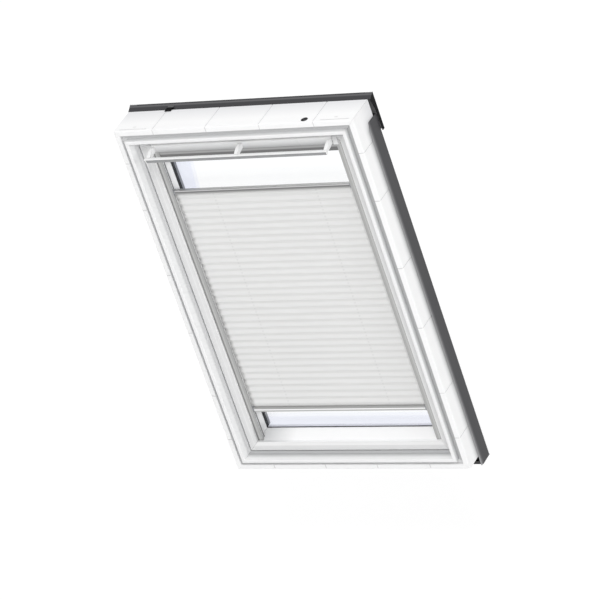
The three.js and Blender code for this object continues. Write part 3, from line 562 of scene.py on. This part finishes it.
def spacerMetal():
    finish = Finish("spacer metal")
    lines = finish.cloud(scale=55.0, detail=4.0)
    tone = finish.blend(lines, spacer["dark"], spacer["light"])
    litBottom = (1 - onSides(finish)) * (finish.along("Z") < 0)
    return finish.surface(
        colour=finish.blend(litBottom, tone, spacer["bottom"]),
        roughness=spacer["roughness"] + 0.1 * lines,
        metallic=spacer["metallic"] * (1 - litBottom),
        normal=finish.bump(lines, strength=0.08, distance=0.1 * mm),
    )


# drawn metal has fine lines along one axis: their tone, how far they roughen it, and their bump
def drawnGrain(finish, stretch):
    lines = finish.cloud(scale=55.0, detail=4.0, roughness=0.6, stretch=stretch)
    uneven = 0.16 * (lines - 0.5) + 0.06 * finish.cloud(scale=6.0)
    return lines, uneven, finish.bump(lines, strength=0.08, distance=0.1 * mm)


# the side channels' front has a dark outer rib, and their chambers are painted pale, painted light
# in their shade
channel = {
    "light": (0.56, 0.565, 0.56),
    "dark": (0.46, 0.46, 0.455),
    "ribTone": (0.24, 0.242, 0.24),
    "chamberLitTone": (0.9, 0.9, 0.9),
    "shadeTone": (0.17, 0.17, 0.17),
    "front": 0.0455,
    "ribInner": 0.2935,
    "ribShare": 0.8,
    "laneInner": 0.288,
    "laneShare": 0.3,
    "chamber": (0.0466, 0.0534),
    "chamberInner": 0.2803,
    "wallOuter": 0.2812,
    "wallFront": 0.0518,
    "clothTop": 0.353,
    "clothFoot": -0.3985,
    "roughness": 0.38,
    "metallic": 0.85,
}


def channelMetal():
    finish = Finish("channel metal")
    aside, depth, high = abs(finish.along("X")), finish.along("Y"), finish.along("Z")
    lines, uneven, bump = drawnGrain(finish, stretch=(1, 1, 0.02))
    onFront = (depth < channel["front"]) * (aside < window["halfWidth"])
    rib = channel["ribShare"] * onFront * (aside > channel["ribInner"])
    lane = channel["laneShare"] * onFront * (aside < channel["laneInner"])
    inside = (aside > channel["chamberInner"]) * depth.between(*channel["chamber"])
    tone = finish.blend(lines, channel["light"], channel["dark"])
    tone = finish.blend(rib + lane, tone, channel["ribTone"])
    tone = finish.blend(inside, tone, channel["chamberLitTone"])
    # past the cloth's ends the wall beside the pane lies in its own shade
    bare = (high > channel["clothTop"]).either(high < channel["clothFoot"])
    shaded = bare * (aside < channel["wallOuter"]) * (depth > channel["wallFront"])
    return finish.surface(
        colour=finish.blend(shaded, tone, channel["shadeTone"]),
        roughness=channel["roughness"] + uneven,
        metallic=channel["metallic"] * (1 - inside),
        normal=bump,
    )


# the rails and the blind's top profile have ribs across their fronts, drawn as bands of painted
# highlight and painted shade, darkest on the profile in the shade under the sash's head: each stop
# is a height from the edge, in shares of the front's own height, and a tone
railLightAndShade = {
    "upper_rail": {
        "edge": 0.3413, "height": 0.012,
        "stops": [(0.0, 0.42), (0.4, 0.42), (0.5, 0.2), (0.7, 0.22), (0.8, 0.62), (1.0, 0.62)],
    },
    "lower_rail": {
        "edge": -0.3827, "height": -0.016,
        "stops": [(0.0, 0.36), (0.3, 0.42), (0.42, 0.95), (0.62, 0.95), (0.72, 0.4), (0.95, 0.55)],
    },
    "blind_top_profile": {
        "edge": 0.482, "height": -0.018,
        "stops": [(0.0, 0.29), (0.14, 0.29), (0.2, 0.4), (0.46, 0.39), (0.54, 0.19), (1.0, 0.19)],
    },
}
drawnRail = {
    "light": (0.44, 0.44, 0.436),
    "dark": (0.36, 0.36, 0.356),
    "front": 0.0463,
    "roughness": 0.34,
    "metallic": 0.85,
}


def railMetal(name):
    finish = Finish(f"{name} metal")
    own = railLightAndShade[name]
    lines, uneven, bump = drawnGrain(finish, stretch=(0.02, 1, 1))
    height = finish.climb(finish.along("Z"), own["edge"], own["edge"] + own["height"])
    plain = finish.blend(lines, drawnRail["light"], drawnRail["dark"])
    onFront = finish.along("Y") < drawnRail["front"]
    return finish.surface(
        colour=finish.blend(onFront, plain, finish.ramp(height, own["stops"])),
        roughness=drawnRail["roughness"] + uneven,
        metallic=drawnRail["metallic"],
        normal=bump,
    )


zinc = {
    "dark": (0.5, 0.51, 0.53),
    "light": (0.62, 0.63, 0.64),
    "spangle": 160.0,
    "roughness": 0.3,
    "metallic": 0.95,
}


def zincSteel():
    finish = Finish("zinc steel")
    spangle = finish.cells(scale=zinc["spangle"], output="Color")
    shade = finish.add("ShaderNodeSeparateColor", None, {"Color": spangle})
    return finish.surface(
        colour=finish.blend(shade, zinc["dark"], zinc["light"]),
        roughness=zinc["roughness"] + 0.16 * shade,
        metallic=zinc["metallic"],
        normal=finish.bump(finish.cloud(scale=500.0), strength=0.06, distance=0.1 * mm),
    )


plastic = {
    "shoe": {"light": (0.3, 0.31, 0.33), "dark": (0.26, 0.27, 0.29), "roughness": 0.45},
    "bracket": {"light": (0.9, 0.9, 0.9), "dark": (0.87, 0.87, 0.87), "roughness": 0.38},
}


def mouldedPlastic(name):
    finish = Finish(f"{name} plastic")
    own = plastic[name]
    drift = finish.cloud(scale=14.0, detail=3.0)
    grain = finish.cloud(scale=1600.0)
    return finish.surface(
        colour=finish.blend(drift, own["light"], own["dark"]),
        roughness=own["roughness"] + 0.08 * drift,
        normal=finish.bump(grain, strength=0.12, distance=0.1 * mm),
    )


# the bar's face is white, and the finger strip set back below it is painted grey, painted shade
# in its undercut; the flap behind it is painted darker from its crown down to its foot, painted
# shade, with its crown painted lighter against the shade under the frame's strip
grip = {
    "light": (0.82, 0.824, 0.826),
    "dark": (0.8, 0.804, 0.806),
    "stripClimb": (0.4983, 0.4972),
    "stripBack": -0.0125,
    "paintedStripTone": (0.3, 0.305, 0.31),
    "roughness": 0.26,
    "specular": 0.4,
}
flap = {
    "front": 0.02,
    "tone": (0.92, 0.924, 0.926),
    "footShadeClimb": (0.5125, 0.496),
    "footShadeTone": (0.48, 0.484, 0.488),
    "crown": 0.5145,
    "crownLitTone": (0.97, 0.97, 0.97),
}


def barLacquer():
    finish = Finish("bar lacquer")
    depth, high = finish.along("Y"), finish.along("Z")
    drift, skin = lacquerGrain(finish)
    onFlap = depth > flap["front"]
    tone = finish.blend(drift, grip["light"], grip["dark"])
    tone = finish.blend(onFlap, tone, flap["tone"])
    tone = finish.blend(onFlap * finish.climb(high, *flap["footShadeClimb"]), tone, flap["footShadeTone"])
    tone = finish.blend(onFlap * (high > flap["crown"]), tone, flap["crownLitTone"])
    strip = finish.climb(high, *grip["stripClimb"]) * (depth < grip["stripBack"])
    return finish.surface(
        colour=finish.blend(strip, tone, grip["paintedStripTone"]),
        roughness=grip["roughness"] + 0.1 * (drift - 0.5) + 0.2 * strip,
        normal=skin,
        specular=grip["specular"],
    )


# daylight comes through the facets that face down and lifts them a little
fabric = {
    "plain": (0.765, 0.765, 0.76),
    "lit": (0.795, 0.795, 0.79),
    "slubbed": (0.71, 0.71, 0.705),
    "holes": (0.6, 0.6, 0.595),
    "threads": 330.0,
    "roughness": 0.86,
    "sheen": 0.12,
    "sheenRoughness": 0.5,
    "specular": 0.25,
}
cords = {"places": (-0.159, 0.165), "radius": 0.004, "facet": 0.013}


def threads(finish, direction):
    return finish.add(
        "ShaderNodeTexWave",
        {"wave_type": "BANDS", "bands_direction": direction, "wave_profile": "SIN"},
        {"Vector": finish.place(), "Scale": fabric["threads"], "Distortion": 1.5,
         "Detail": 2.0, "Detail Scale": 1.5},
    )


# the small holes that the lifting cords pass, one in the middle of each facet
def cordMarks(finish, across, phase):
    marks = None
    for place in cords["places"]:
        aside = (across - place) / cords["radius"]
        along = (phase - 0.5) * (cords["facet"] / cords["radius"])
        ring = (aside * aside + along * along).maths("SQRT")
        mark = finish.ramp(ring, [(0.0, 0.5), (0.5, 0.35), (1.0, 0.0)])
        marks = mark if marks is None else marks + mark
    return marks


# the cloth's own map: u runs across it in metres, and v counts its facets
def pleatCloth():
    finish = Finish("pleat cloth")
    own = finish.add("ShaderNodeUVMap", {"uv_map": "cloth"})
    across = finish.add("ShaderNodeSeparateXYZ", None, {"Vector": own})
    facets = finish.add("ShaderNodeSeparateXYZ", None, {"Vector": own}, output="Y")
    slub = finish.cloud(scale=120.0, detail=4.0, roughness=0.65, stretch=(0.25, 1, 1))
    drift = finish.cloud(scale=4.0, detail=3.0)
    weave = 0.5 * (threads(finish, "X") + threads(finish, "Z") + slub)
    lit = (facets * 0.5).maths("FRACT") > 0.5
    tone = finish.blend(lit, fabric["plain"], fabric["lit"])
    tone = finish.blend(0.5 * drift + 0.4 * slub, tone, fabric["slubbed"])
    marks = cordMarks(finish, across, facets.maths("FRACT"))
    return finish.surface(
        colour=finish.blend(marks, tone, fabric["holes"]),
        roughness=fabric["roughness"] + 0.1 * slub,
        normal=finish.bump(weave, strength=0.25, distance=0.25 * mm),
        sheen=fabric["sheen"],
        sheenRoughness=fabric["sheenRoughness"],
        specular=fabric["specular"],
    )


braid = {"light": (0.86, 0.86, 0.85), "dark": (0.72, 0.72, 0.71), "twist": 260.0, "roughness": 0.8}


def braidedCord():
    finish = Finish("braided cord")
    twist = finish.add(
        "ShaderNodeTexWave", {"wave_type": "BANDS", "bands_direction": "DIAGONAL"},
        {"Vector": finish.place(), "Scale": braid["twist"]},
    )
    return finish.surface(
        colour=finish.blend(twist, braid["light"], braid["dark"]),
        roughness=braid["roughness"],
        normal=finish.bump(twist, strength=0.3, distance=0.3 * mm),
    )


foam = {"dark": (0.3, 0.31, 0.32), "light": (0.48, 0.49, 0.5), "cells": 900.0, "roughness": 0.95}


def filterFoam():
    finish = Finish("filter foam")
    cells = finish.cells(scale=foam["cells"])
    return finish.surface(
        colour=finish.blend(cells, foam["dark"], foam["light"]),
        roughness=foam["roughness"],
        normal=finish.bump(cells, strength=0.5, distance=0.5 * mm),
    )


finishes = {
    "frame": whiteLacquer("frame"),
    "sash": whiteLacquer("sash"),
    "bar": barLacquer(),
    "casing": foamCasing(),
    "cladding": darkSheet(),
    "rubber": blackRubber(),
    "glass": clearGlass(),
    "upperMetal": railMetal("upper_rail"),
    "lowerMetal": railMetal("lower_rail"),
    "profileMetal": railMetal("blind_top_profile"),
    "channelMetal": channelMetal(),
    "spacerMetal": spacerMetal(),
    "zinc": zincSteel(),
    "greyPlastic": mouldedPlastic("shoe"),
    "whitePlastic": mouldedPlastic("bracket"),
    "cloth": pleatCloth(),
    "cord": braidedCord(),
    "foam": filterFoam(),
}
print("finishes wired")

sides = ("top", "bottom", "left", "right")
dressed = {
    "frame": [f"frame_{side}" for side in sides],
    "sash": [f"sash_{side}" for side in sides],
    "casing": [f"collar_{side}" for side in sides],
    "cladding": [f"sash_cover_{side}" for side in sides]
                + ["hood", "cladding_left", "cladding_right", "sill_cladding"],
    "rubber": ["cable_plug", "weather_seal", "glass_edge_seal", "glazing_gasket"],
    "glass": ["glass_inner", "glass_outer"],
    "upperMetal": ["upper_rail"],
    "lowerMetal": ["lower_rail"],
    "profileMetal": ["blind_top_profile"],
    "channelMetal": ["side_channel_left", "side_channel_right"],
    "spacerMetal": ["glass_spacer"],
    "zinc": ["hinge_housing_left", "hinge_housing_right", "pivot_plate_left", "pivot_plate_right",
             "lock_keeper", "lock_case", "latch_bolt"],
    "greyPlastic": [f"{level}_shoe_{side}" for level in ("upper", "lower") for side in sides[2:]],
    "bar": ["vent_flap", "control_bar"],
    "whitePlastic": ["bar_cap_left", "bar_cap_right",
                     "bar_bracket_left", "bar_bracket_middle", "bar_bracket_right"],
    "cord": ["tension_cord_left", "tension_cord_right"],
    "foam": ["vent_filter_left", "vent_filter_right"],
}


def dressNodes():
    for finish, names in dressed.items():
        for name in names:
            mesh = nodes[name].data
            mesh.materials.clear()
            mesh.materials.append(finishes[finish])


dressNodes()
print("nodes dressed")


# the pleated cloth: two halves, each cut at its creases into strips; each strip's start and end
# on the rail's travel are worked out, but not used
cloth = {
    "halfWidth": 0.2797,
    "railGap": 0.3 * mm,
    "middle": -0.0207,
    "middleGap": 0.1 * mm,
    "tab": 2.2 * mm,
    "depth": 0.0529,
    "foldDepth": 4.0 * mm,
    "foldSharpness": 0.75,
    "facets": (2, 4, 6, 9, 6, 4, 2),
    "facetSteps": 4,
    "columns": 44,
    "flatLength": 0.48,
    "stray": 0.25 * mm,
    "strayAcross": 9,
    "strayUp": 30,
    "straySeed": 3.7,
    "thickness": 0.35 * mm,
}


def softStep(turn):
    return turn * turn * (3 - 2 * turn)


# where on the soft step a share of the travel is reached
def shareTurn(share):
    low, high = 0.0, 1.0
    for _ in range(50):
        middle = (low + high) / 2
        if softStep(middle) < share:
            low = middle
        else:
            high = middle
    return (low + high) / 2


def creasePlace(count, edge, stop):
    return edge + (stop - edge) * count / sum(cloth["facets"])


# counted from the rail's edge, odd creases lie towards the room, even ones towards the glass
def creaseDepth(count):
    half = cloth["foldDepth"] / 2
    if count < 1:
        return -half * count
    sweep = 1 - abs(count % 2 - 1)
    sharp = cloth["foldSharpness"]
    return half - 2 * half * (sharp * sweep + (1 - sharp) * softStep(sweep))


# rows of a crease's count, its depth and its height, with a tab into the rail at the first
def clothRows(first, last, edge, stop):
    rows = []
    if first == 0:
        rows.append((first, 0.0, edge - math.copysign(cloth["tab"], stop - edge)))
    steps = cloth["facetSteps"]
    for step in range((last - first) * steps + 1):
        count = first + step / steps
        rows.append((count, creaseDepth(count), creasePlace(count, edge, stop)))
    return rows


def clothStrip(name, rows, lead):
    lastRow = len(rows) - 1
    mesh = bmesh.new()
    bmesh.ops.create_grid(mesh, x_segments=cloth["columns"], y_segments=lastRow, size=1)
    mesh.verts.ensure_lookup_table()
    layer = mesh.loops.layers.uv.new("cloth")
    counts = {}
    for vertex in mesh.verts:
        row = round((vertex.co.y + 1) / 2 * lastRow)
        count, depth, height = rows[row]
        across = vertex.co.x * cloth["halfWidth"]
        spot = (across * cloth["strayAcross"], height * cloth["strayUp"], cloth["straySeed"])
        sway = noise.noise(Vector(spot)) * cloth["stray"]
        calm = 0.0 if row in (0, lastRow) else 1.0  # the strip's ends meet the next one's
        vertex.co = (across, cloth["depth"] + depth + sway * calm, height)
        counts[vertex.index] = count
    for face in mesh.faces:
        face.smooth = True
        for loop in face.loops:
            loop[layer].uv = (loop.vert.co.x, counts[loop.vert.index] + lead)
    # every crease is as crisp as those where two strips meet
    for edge in mesh.edges:
        near, far = (counts[vertex.index] for vertex in edge.verts)
        edge.smooth = near != far or near != round(near)
    bmesh.ops.recalc_face_normals(mesh, faces=mesh.faces)
    data = bpy.data.meshes.new(name)
    mesh.to_mesh(data)
    mesh.free()
    data.materials.append(finishes["cloth"])
    strip = bpy.data.objects.new(name, data)
    scene.collection.objects.link(strip)
    solid = strip.modifiers.new("thickness", "SOLIDIFY")
    solid.thickness = cloth["thickness"]
    solid.offset = 0
    return strip


# hand is 1 for the half that hangs below its rail, and -1 for the half that stands on its own
def makeCloth(half, rail, hand):
    total = sum(cloth["facets"])
    edge = railLightAndShade[rail]["edge"] - hand * cloth["railGap"]
    stop = cloth["middle"] + hand * cloth["middleGap"]
    lead = 0 if hand > 0 else 1  # the same facets face down in both halves
    first = 0
    for number, facets in enumerate(cloth["facets"], start=1):
        last = first + facets
        strip = clothStrip(f"{half}_{number}", clothRows(first, last, edge, stop), lead)
        near, far = creasePlace(first, edge, stop), creasePlace(last, edge, stop)
        nearTurn, farTurn = shareTurn(1 - first / total), shareTurn(1 - last / total)
        reach = (near - far) / (nearTurn - farTurn)
        start = (0, cloth["depth"], far - farTurn * reach)
        end = (0, cloth["depth"], far + (1 - farTurn) * reach)
        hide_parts(half)
        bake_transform(strip)
        first = last


makeCloth("cloth_upper", "upper_rail", 1)
makeCloth("cloth_lower", "lower_rail", -1)
print("cloth pleated")


# a pale floor, a white world and four soft lamps, each aimed at the window's middle
studio = {
    "floorDrop": 0.5,
    "floorSize": 60.0,
    "floorSeen": (0.3, 0.3, 0.3),
    "floorLit": (0.8, 0.8, 0.8),
    "floorGlow": 0.74,
    "worldLight": 0.74,
    "lamps": {
        "key lamp": {"place": (3.2, -4.6, 6.8), "size": 3.0, "level": 0.26},
        "side lamp": {"place": (7.5, -2.2, 2.4), "size": 3.0, "level": 0.14},
        "back lamp": {"place": (-1.5, 6.5, 4.5), "size": 3.5, "level": 0.14},
        "front lamp": {"place": (0.6, -7.5, 1.8), "size": 3.0, "level": 0.1},
    },
}


# the floor glows for the camera alone, and keeps the window's shadow
def makeFloor():
    mesh = bmesh.new()
    bmesh.ops.create_grid(mesh, x_segments=1, y_segments=1, size=studio["floorSize"] / 2)
    drop = cadBox[0][2] - studio["floorDrop"]
    bmesh.ops.translate(mesh, verts=mesh.verts, vec=(0, 0, drop))
    data = bpy.data.meshes.new("floor")
    mesh.to_mesh(data)
    mesh.free()
    floor = bpy.data.objects.new("floor", data)
    scene.collection.objects.link(floor)
    finish = Finish("floor")
    seen = finish.seenDirectly()
    tone = finish.blend(seen, studio["floorLit"], studio["floorSeen"])
    glow = finish.add("ShaderNodeEmission", None, {"Strength": studio["floorGlow"] * seen})
    plain = finish.add("ShaderNodeBsdfDiffuse", None, {"Color": tone})
    finish.tree.nodes.remove(finish.shader)
    finish.finishWith(finish.add("ShaderNodeAddShader", None, {0: glow, 1: plain}))
    data.materials.append(finish.material)


def makeWorld():
    world = bpy.data.worlds.new("studio")
    scene.world = world
    world.use_nodes = True
    sky = Wiring(world.node_tree, "ShaderNodeOutputWorld")
    level = studio["worldLight"] + (1 - studio["worldLight"]) * sky.seenDirectly()
    white = {"Color": (1, 1, 1, 1), "Strength": level}
    sky.finishWith(sky.add("ShaderNodeBackground", None, white))


def makeLamps():
    for name, own in studio["lamps"].items():
        place = Vector(own["place"])
        lamp = bpy.data.lights.new(name, "AREA")
        lamp.shape = "DISK"
        lamp.size = own["size"]
        lamp.energy = own["level"] * (math.pi * place.length) ** 2
        holder = bpy.data.objects.new(name, lamp)
        scene.collection.objects.link(holder)
        turn = place.to_track_quat("Z", "Y").to_matrix().to_4x4()
        holder.matrix_world = Matrix.Translation(place) @ turn


makeFloor()
makeWorld()
makeLamps()
print("studio lit")
